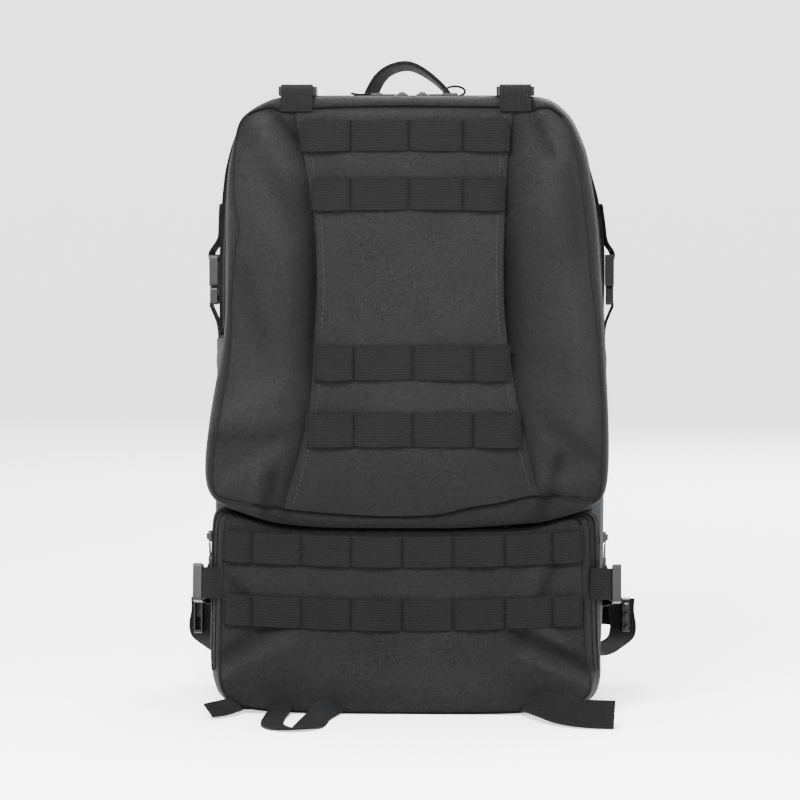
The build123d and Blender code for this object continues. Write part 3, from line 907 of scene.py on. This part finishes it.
def tape(name, outline, cut, y0, y1, lift, body, seed, *nodes):
    """One half of a zip's tape, lying on the skin between two depths."""
    rows = [on_skin(outline, y, lift, cut, seed) for y in np.linspace(y0, y1, 4)]
    shortest = min(len(row) for row in rows)
    piece = cloth(name, [evenly(row, shortest) for row in rows], 0.8)
    place(piece, body, TAPE, *nodes)


def coil_spots(run):
    """Places along a zip, one for each turn of its coil."""
    return evenly(run, int(length_of(run) / COIL_PITCH))


def coil(name, body, spots, across, normal):
    """A zip's coil: one small bead across the zip for each turn."""
    turns = [[p - a, p + a] for p, a in zip(spots, across)]
    beads = stitches(name, turns, 2 * COIL_HALF, 2 * COIL_HALF + 0.6, 0.75, normal)
    place(beads, body, COIL)


def teeth(name, outline, cut, y, lift, body, seed):
    """The coil of a zip that runs round a pocket."""
    spots = coil_spots(on_skin(outline, y, lift, cut, seed))
    coil(name, body, spots, [np.array((0, COIL_HALF, 0))] * len(spots), (0.3, 0, 1))


def zips():
    """The two pockets' zips, each with a tape for either side and the coil between them."""
    z, seed = POCKET_ZIP, POCKET_SEED
    tape("upper_zip_tape_front", pocket_outline, FOLD + 0.5, z - 6, z - 0.4, 0.7, "upper_front", seed)
    tape("upper_zip_tape_back", pocket_outline, FOLD + 0.5, z + 0.4, z + 6, 0.7, "main_mouth", seed,
         "upper_zip_coil")
    teeth("upper_zip_teeth", pocket_outline, FOLD + 2, z + 1, 1.4, "main_mouth", seed)
    foot, seed = LOWER_ZIP_FOOT, LOWER_SEED
    tape("lower_zip_tape_front", lower_outline, foot, z - 5, z - 0.4, 0.6, "lower_front", seed)
    tape("lower_zip_tape_back", lower_outline, foot, z + 0.4, z + 5, 0.6, "root", seed)
    teeth("lower_zip_teeth", lower_outline, foot, z + 1, 1.3, "root", seed)


def main_zip():
    """The main zip: a tape on the mouth, a flange on the shell's rim, and the coil between them."""
    seed = POCKET_SEED
    tape("main_zip_tape_mouth", mouth_outline, FOLD + 0.5, MAIN_ZIP - 6, MAIN_ZIP, 0.7, "main_mouth", seed)
    flange = [above(bulged(SHELL_OUT, d), FOLD + 0.5) for d in (-5.4, -3, -0.3)]
    count = min(len(run) for run in flange)
    rows = [crumple(level(evenly(run, count), MAIN_ZIP + 1), SLACK, seed) for run in flange]
    place(cloth("main_zip_flange", rows, 0.9), "root", TAPE, "main_zip_coil")
    run = crumple(level(above(bulged(SHELL_OUT, -4.2), FOLD + 2), MAIN_ZIP + 0.4), SLACK, seed)
    spots = coil_spots(run)
    across = np.insert(outward(spots[:, [0, 2]]) * COIL_HALF, 1, 0, axis=1)
    coil("main_zip_teeth", "root", spots[1:-1], across[1:-1], (0, -1, 0))


# Webbing

def strap(name, points, width=STRAP_WIDTH, thick=STRAP_THICK, rounds=3):
    """A flat strap that follows points, each with the direction that the strap's face looks in."""
    pts = smooth(points, rounds)
    pts = evenly(pts, max(8, int(length_of(pts[:, :3]) / 2.0)))
    path, face = pts[:, :3], pts[:, 3:]
    return ribbon(name, path, np.cross(np.gradient(path, axis=0), face), width, thick)


def centre(node):
    """The middle of a node's box."""
    low, high = box_mm(node)
    return (low + high) / 2


TILT = math.radians(10)


class Buckle:
    """A side-release buckle's frame: X from plug to socket, Z out of the bag, Y along its width."""

    def __init__(self, name, side=None):
        sign = -1.0 if side == "left" else 1.0
        self.x, self.z = {"top": ((0, -1, 0), (0, 0, 1)),
                          "lower": ((0, -math.cos(TILT), math.sin(TILT)), (sign, 0, 0)),
                          "side": ((0, 0, 1), (sign, 0, 0)),
                          "sternum": ((1, 0, 0), (0, 1, 0))}[name]
        self.x, self.z = np.array(self.x, float), np.array(self.z, float)
        self.y = np.cross(self.z, self.x)
        self.origin = centre("_".join(filter(None, (name, "buckle_plug", side)))) + self.x * 1.7

    def points(self, path):
        """World points, with their face directions, for a strap drawn in the buckle's X and Z."""
        pts = np.array(path, float)
        world = self.origin + pts[:, :1] * self.x + pts[:, 1:2] * self.z
        along = unit(np.gradient(pts[:, :2], axis=0))
        face = -along[:, 1:2] * self.x + along[:, :1] * self.z
        return np.hstack([world, face])


def sewn_end(name, body, buckle, x0, x1, z, normal):
    """A strap's sewn end in its buckle's frame: a square with a cross in it."""
    a, b, c, d = (buckle.origin + x * buckle.x + y * buckle.y + z * buckle.z
                  for x, y in ((x0, -10), (x1, -10), (x1, 10), (x0, 10)))
    lines = [[a, b], [b, c], [c, d], [d, a], [a, c], [b, d]]
    place(stitches(name, lines, 2.6, 2.0, 0.36, normal), body, THREAD)


def side_anchor(side):
    """The upper part of a side strap: flat on the shell's side, then out through the buckle."""
    buckle = Buckle("side", side)
    x, y, z = buckle.origin
    shell = shell_outline(y)
    path = [(h, abs(side_at(shell, z + h, np.sign(x))) - abs(x) + 0.9) for h in (68, 60, 52, 45, 40)]
    path += [(34, -2.4), (29, 1.6), (25, 2.8), (21.6, 1)]
    return strap(f"side_anchor_{side}", buckle.points(path) + (0, 0, 0, 0, -0.1, 0))


# Straps in a buckle's frame: tabs go through the socket's bar, runs through the plug's
TABS = {"top": [(33.4, -16.2), (34.4, -6), (33.2, 1.6), (29, 4.6), (24, 4.2), (21.6, 1.2), (21.8, -3.2),
                (16, -4.2), (8, -4.3)],
        "lower": [(29.6, -21), (30.4, -17), (30.2, -11), (28.6, -6.6), (25.2, -4.8), (20, -4.4), (12, -4.4)]}
RUNS = {"top": [(-11, 1), (-15, 3.6), (-19, 2), (-24, -3), (-34, -4.2), (-62, -4.2)],
        "lower": [(-11, 1), (-15, 3.6), (-20, 1), (-30, -3.6), (-44, -6), (-60, -10.6), (-90, -11),
                  (-118, -10.2)],
        "side": [(-11, 1), (-15, 3.4), (-20, 1), (-32, -4), (-48, -4.6), (-62, -2.6), (-78, -4.6)]}


def pair_of_straps(kind, tier, path):
    """The left and right strap of one tier of buckles."""
    return [strap(f"{tier}_{kind}_{side}", Buckle(tier, side).points(path)) for side, _ in SIDES]


def buckle_straps():
    """The straps and tabs of the six side-release buckles at the front and sides."""
    for tier, body in (("top", "upper_front"), ("lower", "lower_front")):
        webbing(f"{tier}_tab_webbing", pair_of_straps("tab", tier, TABS[tier]), body, f"{tier}_tabs")
    for tier, body in (("top", "main_mouth"), ("lower", "root"), ("side", "root")):
        pieces = pair_of_straps("run", tier, RUNS[tier])
        if tier == "side":
            pieces += [side_anchor(side) for side, _ in SIDES]
        webbing(f"{tier}_strap_webbing", pieces, body, f"{tier}_straps")
    for side, sign in SIDES:
        sewn_end(f"lower_strap_sewing_{side}", "root", Buckle("lower", side), -96, -114, -9.0, (sign, 0, 0))
        sewn_end(f"side_strap_sewing_{side}", "root", Buckle("side", side), 52, 66, -5.4, (sign, 0, 0))
        sewn_end(f"top_strap_sewing_{side}", "main_mouth", Buckle("top", side), -42, -60, -3.0, UP)


def grab_handle():
    """The webbing handle: an arc that leans, with one foot twisted."""
    line = [(-37, 490, 30), (-34.5, 497, 30), (-31.5, 503.8, 28), (-26.5, 511.8, 24), (-18.7, 518, 20),
            (-5.5, 521.6, 18), (6, 518, 14), (19.5, 508.4, 9), (27.6, 500.4, 7), (34, 491, 7)]
    pts = evenly(smooth(line, 4), 60)
    path = level(pts, centre("grab_handle")[1])
    out = np.cross(unit(np.gradient(path, axis=0)), (0, 1, 0)) * -1
    turn = np.radians(pts[:, 2])[:, None]
    across = np.cos(turn) * np.array([0, 1, 0]) + np.sin(turn) * out
    place(ribbon("grab_handle_webbing", path, across, 17, 3.2), "handle", WEBBING, "grab_handle")


def lash_straps():
    """The lashing loop and the two loose tails in front of the base, lying on the ground."""
    line = [(-100, -77.6, 15, 0, -1, 0.1), (-100, -80, 9, 0, -1, 0.2), (-101, -88, 3.4, 0, -0.6, 1),
            (-103, -98, 1.2, 0, 0, 1), (-104, -125, 1, 0, 0, 1), (-103, -153, 1, 0, 0, 1),
            (-96, -171, 1.2, 0, 0, 1), (-84, -176, 1.6, 0.1, 0.1, 1), (-74, -167, 3, 0.3, 0.3, 1),
            (-68, -146, 5, 0.8, 0.2, 1), (-66, -120, 7, 1, 0.1, 0.8), (-62, -98, 7, 0.7, -0.4, 0.8),
            (-57, -80, 8, 0.2, -1, 0.4)]
    place(strap("lash_loop_webbing", line, 18, 1.5), "root", WEBBING, "lash_loop")
    right = [(96, -78, 12.8, 0, -1, 0.2), (100, -86, 12.8, 0, -1, 0.35), (110, -112, 12.4, 0, -0.9, 0.5),
             (124, -140, 11.6, -0.2, -0.8, 0.6), (142, -153, 11, 0, -0.8, 0.6),
             (164, -155, 10.8, 0.1, -0.8, 0.6)]
    left = [(-136, -79, 8, 0, -1, 0.3), (-138, -86, 8, 0, -1, 0.4), (-144, -100, 7.4, 0.1, -0.8, 0.6),
            (-156, -110, 6.6, 0, -0.7, 0.7)]
    pieces = [strap("lash_tail_right", right, *HARNESS), strap("lash_tail_left", left, 15, 1.5)]
    webbing("lash_tail_webbing", pieces, "root", "lash_tails")


# Pads and harness

def simulated(obj, pinned, pressure, cap, grow):
    """Blows a pad up with Cloth, its seams held and its cloth cut larger by grow, and keeps the result."""
    start = np.array([v.co for v in obj.data.vertices])
    group = obj.vertex_groups.new(name="held")
    group.add([int(i) for i in np.flatnonzero(pinned)], 1.0, "REPLACE")
    mod = obj.modifiers.new("cloth", "CLOTH")
    mod.settings.quality = 4
    mod.settings.shrink_min = -grow
    mod.settings.use_pressure = True
    mod.settings.uniform_pressure_force = pressure
    mod.settings.effector_weights.gravity = 0
    mod.settings.vertex_group_mass = "held"
    mod.collision_settings.use_collision = False
    for moment in range(1, 21):
        bpy.context.scene.frame_set(moment)
    depsgraph = bpy.context.evaluated_depsgraph_get()
    result = np.array([v.co for v in obj.evaluated_get(depsgraph).data.vertices])
    obj.modifiers.remove(mod)
    move = result - start
    size = np.linalg.norm(move, axis=1, keepdims=True)
    move *= np.minimum(1, cap * MM / np.maximum(size, 1e-9))
    obj.data.vertices.foreach_set("co", (start + move).astype(np.float32).ravel())
    obj.data.update()
    bpy.context.scene.frame_set(1)


def pad(node, body, shrink, held, pressure, cap, grow=0.0):
    """A padded piece blown up from its CAD solid's shape. held tells which points the seams hold."""
    obj = bpy.data.objects.new(f"{node}_foam", bpy.data.meshes.new_from_object(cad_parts[node]))
    bpy.context.collection.objects.link(obj)
    mod = obj.modifiers.new("remesh", "REMESH")
    mod.mode = "VOXEL"
    mod.voxel_size = VOXEL * MM
    apply_all(obj)
    normals = np.array([v.normal for v in obj.data.vertices])
    co = np.array([v.co for v in obj.data.vertices]) - normals * shrink * MM
    obj.data.vertices.foreach_set("co", co.astype(np.float32).ravel())
    simulated(obj, held(co / MM), pressure, cap, grow)
    sub = obj.modifiers.new("smooth", "SUBSURF")
    sub.levels = sub.render_levels = 1
    apply_all(obj)
    obj.data.shade_smooth()
    place(obj, body, SPACER, node)


def apply_all(obj):
    """Replaces an object's mesh by its evaluated one."""
    depsgraph = bpy.context.evaluated_depsgraph_get()
    mesh = bpy.data.meshes.new_from_object(obj.evaluated_get(depsgraph))
    obj.modifiers.clear()
    obj.data = mesh


PAD_LINE = [(114, 452), (125, 438), (139, 385), (139, 290), (128, 208)]


def pads():
    """Back and lumbar pads, shoulder pads and hip wings."""
    for node in ("back_pads", "lumbar_pad"):
        def held(p, low=box_mm(node)[0]):
            channel = np.abs((p[:, 2] - low[2]) % 46 - 23) < 2.2
            return (p[:, 1] < low[1] + 3) | channel

        pad(node, "root", 2.0, held, 14.0, 5.0, 0.05)
    for side, _ in SIDES:
        node = f"shoulder_pad_{side}"
        low, high = box_mm(node)
        pad(node, "shoulder_harness", 1.8,
            lambda p, x0=low[0], x1=high[0]: (p[:, 0] < x0 + 3) | (p[:, 0] > x1 - 3), 14.0, 5.0)
        for edge, sign in ((low[0], -1), (high[0], 1)):
            line = [(edge + sign * -1.4, y, z, sign, 0, 0) for y, z in PAD_LINE]
            piece = strap(f"{node}_edge_{'in' if sign * edge < 0 else 'out'}", line, 12.5, 1.2)
            place(piece, "shoulder_harness", BINDING)
        wing = f"hip_wing_{side}"
        pad(wing, f"hip_{side}", 1.4, lambda p, y=centre(wing)[1]: np.abs(p[:, 1] - y) < 2.4, 10.0, 3.0)


def harness():
    """Webbing of the shoulder straps, with the two lengths that join each to the pack."""
    for side, sign in SIDES:
        x = centre(f"shoulder_pad_{side}")[0]
        line = [(x, y + 6.6, z, 0, 1, 0.15) for y, z in PAD_LINE[1:]] + [(x, 127, 197, 0, 1, -0.1)]
        run = strap(f"shoulder_strap_webbing_{side}", line, *HARNESS)
        place(run, "shoulder_harness", WEBBING)
        low, high = box_mm("load_lifters")
        anchor, lock = (x, low[1] + 1.2, high[2] - 1.5), (x, high[1] - 1.2, low[2] + 1.5)
        pts = [(*anchor, 0, 0.8, 0.6), (x, 122, 466, 0, 0.8, 0.6), (*lock, 0, 0.8, 0.6)]
        lifter = strap(f"load_lifter_webbing_{side}", pts, 20, 1.5, 2)
        place_blend(lifter, "load_lifters")
        lock, end = (x, 123.6, box_mm("shoulder_webbing")[1][2] - 1), (sign * 128, 109.4, 30.0)
        pts = [(*lock, 0, 1, 0.1), (x + sign * 18, 124, 132, 0, 1, 0.1), (*end, 0, 1, 0.1)]
        place_blend(strap(f"shoulder_webbing_{side}", pts, *HARNESS, 2), "shoulder_webbing")


def sternum_strap():
    """The sternum strap's two halves, from the shoulder pads to the buckle's bars."""
    buckle = Buckle("sternum")
    plug = [(-11, 1), (-15, 3.4), (-20, 1), (-30, -3.4), (-46, -4.4)]
    socket = [(8, -4.3), (16, -4.2), (21.8, -3.2), (21.6, 1.2), (24, 4.2), (29, 3.8), (35, -2), (41, -4.2),
              (48, -4.4)]
    pieces = [strap(f"sternum_strap_{k}", buckle.points(path), 20, 1.5)
              for k, path in enumerate((plug, socket))]
    webbing("sternum_strap_webbing", pieces, "shoulder_harness", "sternum_straps")


def place_blend(obj, node):
    """A strap between the pack and the shoulder harness: webbing that stands for a CAD node, on no body, with
    its transform baked into its mesh.
    """
    obj.data.materials.append(WEBBING)
    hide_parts(node)
    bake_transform(obj)


def belt_webbing():
    """The waist belt's webbing: from each wing's end, looped forward through its buckle half."""
    for side, sign in SIDES:
        node = f"hip_webbing_{side}"
        low, high = box_mm(node)
        start, far = (high[0], low[0]) if side == "left" else (low[0], high[0])
        _, wing, z = centre(f"hip_wing_{side}")
        front = low[1]
        belt = [(start - sign * 34, wing + 7.4, z, 0, 1, 0), (start - sign * 6, wing + 6.4, z, 0, 1, 0),
                (start + sign * 8, wing + 1, z, sign * 0.3, 1, 0),
                (far - sign * 3, wing - 6, z, sign, 0.5, 0), (far - sign * 1.2, wing - 18, z, sign, 0, 0),
                (far - sign * 2.4, front + 1, z, sign, 0, 0)]
        x = far - sign * 2
        tail = [(x + sign * 1, front - 1, z + 14, 0, -1, 0.1), (x, front - 6, z + 2, 0, -1, 0.1),
                (x + sign * 3, front - 9, z - 12, 0, -1, -0.2),
                (x - sign * 2, front - 5, z - 22, sign * 0.3, -0.6, -0.8),
                (x - sign * 14, front + 1, z - 30, 0, -0.6, -0.8),
                (x - sign * 26, front + 8, z - 33, 0, -0.4, -0.9)]
        pieces = [strap(f"{node}_belt", belt, *HARNESS), strap(f"hip_tail_{side}", tail, 22, 1.4)]
        webbing(f"{node}_belt", pieces, f"hip_{side}", node)


def inner_panel(name, outline, y, body, node, *cuts):
    """A flat lining panel that fills an outline, cut by planes."""
    rows = domed(outline, (0, outline[:, 1].mean()), y, flat, 22)
    work = skin(f"{name}_work", rows, 0.6, 13.0)
    piece = part_of(work, name, *cuts)
    drop(work)
    place(thicken(piece, LINER, 0.0), body, LINING, node)


def insides():
    """The dividers between the compartments and the liner at the back."""
    inner, wall = bulged(POCKET_OUT, -2.6), bulged(SHELL_OUT, -3.9)
    wall[:, 1] -= 2.6 * np.clip((14 - wall[:, 1]) / 10, 0, 1)
    inner_panel("divider_cloth_upper", inner, DIVIDER + 1, "main_mouth", "divider_upper", (AT_FOLD, DOWN))
    inner_panel("divider_cloth_lower", wall, DIVIDER - 1.2, "root", "divider_lower", (AT_FOLD, UP))
    liner = box_mm("back_liner")[0][1] + 0.6
    inner_panel("back_liner_cloth", bulged(SHELL_OUT, -5.0), liner, "root", "back_liner")


def hydration_sleeve():
    """The slack sleeve inside the back of the main compartment, with a bound hem."""
    low, high = box_mm("hydration_sleeve")
    xs = np.linspace(low[0], high[0], 60)
    rows = []
    for z in np.linspace(low[2], high[2], 60):
        belly = 2.2 * np.sin(math.pi * (xs - low[0]) / (high[0] - low[0])) * (z - low[2]) / (high[2] - low[2])
        rows.append(np.stack([xs, np.full_like(xs, high[1] - 1.0) - belly, np.full_like(xs, z)], axis=1))
    sleeve = cloth("hydration_sleeve_cloth", rows, LINER)
    place(sleeve, "root", LINING, "hydration_sleeve")
    line = [(x, low[1] + y, high[2] - 6, 0, -1, 0) for x, y in ((low[0], 0.2), (0, -1.4), (high[0], 0.2))]
    place(strap("hydration_sleeve_hem", line, 12, 1.0), "root", BINDING)


def organiser():
    """The elastic organiser: a sewn panel with a row of loops standing off it."""
    low, high = box_mm("elastic_organiser")
    y = high[1] - 1.0
    rows = [[(x, y + 0.3 * math.sin(x / 19 + z / 13), z) for x in np.linspace(low[0], high[0], 40)]
            for z in np.linspace(low[2], high[2], 28)]
    place(cloth("organiser_panel", rows, 1.4), "main_mouth", LINING)
    z = 388
    line = []
    for x in range(-98, 99, 28):
        line += [(x, y - 1.2, z, 0, -1, 0), (x + 4, y - 5, z, 0, -1, 0), (x + 14, low[1] + 2, z, 0, -1, 0),
                 (x + 24, y - 5, z, 0, -1, 0)]
    bands = strap("organiser_loops", line[:-3], 32, 1.3)
    place(bands, "main_mouth", ELASTIC, "elastic_organiser")


def pull_loop(tier, side, sign):
    """A cord loop through the end of one zip pull: hanging, standing or lying flat."""
    low, high = box_mm(f"{tier}_zip_slider_{side}")
    outer, y = high[0] if sign > 0 else low[0], (low[1] + high[1]) / 2
    turns = np.linspace(0, 2 * math.pi, 28, endpoint=False)
    if tier == "lower":
        middle = np.array([outer, y, low[2] - 3])
        ring = [middle + (sign * -1.5, 4.5 * math.cos(a), 8 * math.sin(a)) for a in turns]
    elif tier == "upper" and side == "right":
        middle = np.array([outer - 2, y, high[2] + 0.5])
        ring = [middle + (8 * math.cos(a), 1.5 * math.sin(a), 4.0 * math.sin(a)) for a in turns]
    else:
        middle = np.array([outer + 4 * sign, y, high[2] - 1.6])
        ring = [middle + (8 * math.cos(a), 4 * math.sin(a), 0.6 * math.cos(2 * a)) for a in turns]
    cord = tube(f"{tier}_pull_loop_{side}", ring, 0.95, closed=True, sides=8)
    place(cord, f"{tier}_slider_{side}", DARK_THREAD)


def pull_loops():
    """The cord loops of all six zip pulls."""
    for tier in ("main", "upper", "lower"):
        for side, sign in SIDES:
            pull_loop(tier, side, sign)


def stage():
    """A pale round floor that rises into a backdrop on every side."""
    turns = np.linspace(0, 2 * math.pi, 96, endpoint=False)
    profile = (0.01, 0), (2, 0), (5.5, 0), (6.2, 0.06), (6.8, 0.3), (7.2, 0.8), (7.4, 1.6), (7.4, 4.5)
    rows = [[(r * math.cos(a) / MM, r * math.sin(a) / MM, z / MM - 0.2) for a in turns] for r, z in profile]
    floor = make("studio_floor", *grid(rows, closed=True))
    n = Nodes("studio_paper", (0.9, 0.9, 0.9), 0.9, 0.1)
    n.mottle(n.noise(3.0), 0.01)
    n.shader.inputs["Emission Color"].default_value = (1, 1, 1, 1)
    n.shader.inputs["Emission Strength"].default_value = 1.0
    floor.data.materials.append(n.material)


def light(name, where, target, size, power):
    """A soft area light."""
    data = bpy.data.lights.new(name, "AREA")
    data.size = size
    data.energy = power
    obj = bpy.data.objects.new(name, data)
    bpy.context.collection.objects.link(obj)
    obj.location = where
    obj.rotation_euler = (Vector(target) - Vector(where)).to_track_quat("-Z", "Y").to_euler()


def studio():
    """Lights, world and the camera at the front."""
    world = bpy.data.worlds.new("studio")
    bpy.context.scene.world = world
    world.use_nodes = True
    background = world.node_tree.nodes["Background"].inputs
    background["Color"].default_value = (1, 1, 1, 1)
    background["Strength"].default_value = 0.7
    light("key", (-0.3, -1.15, 1.02), (0, 0, 0.36), 0.6, 92)
    light("fill", (1.6, -1.5, 1.3), (0, 0, 0.34), 0.9, 60)
    light("top", (0, 0.4, 2.9), (0, 0, 0.3), 1.4, 150)
    light("back", (0.8, 2.6, 1.7), (0, 0, 0.28), 1.5, 150)
    distance, view_width, front = 3.0, 0.632, FRONT * MM
    eye, target = Vector((0.09, front - distance, 0.42)), Vector((-0.0047, front, 0.252))
    camera = bpy.data.cameras.new("camera")
    camera.sensor_width = 36
    camera.lens = camera.sensor_width * (target - eye).length / view_width
    obj = bpy.data.objects.new("camera", camera)
    bpy.context.collection.objects.link(obj)
    obj.location = eye
    obj.rotation_euler = (target - eye).to_track_quat("-Z", "Y").to_euler()
    bpy.context.scene.camera = obj


LOOKS = ((("buckle", "ladder"), PLASTIC), (("slider",), SLIDER_METAL), (("frame_sheet",), SHEET_PLASTIC),
         (("frame_stays",), ALUMINIUM), (("coil",), COIL),
         (("strap", "webbing", "tab", "lash", "handle"), WEBBING), (("pad", "wing"), SPACER), (("",), LINING))


def dress_cad():
    """Materials for the CAD nodes, by the first words that a node's name holds."""
    for name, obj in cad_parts.items():
        material = next(look for words, look in LOOKS if any(word in name for word in words))
        obj.data.materials.clear()
        obj.data.materials.append(material)


studio()
stage()
dress_cad()
upper_pocket()
centre_panel()
pals()
lower_pocket()
rear_shell()
seam_cords()
zips()
main_zip()
buckle_straps()
grab_handle()
lash_straps()
pads()
harness()
sternum_strap()
belt_webbing()
insides()
hydration_sleeve()
organiser()
pull_loops()
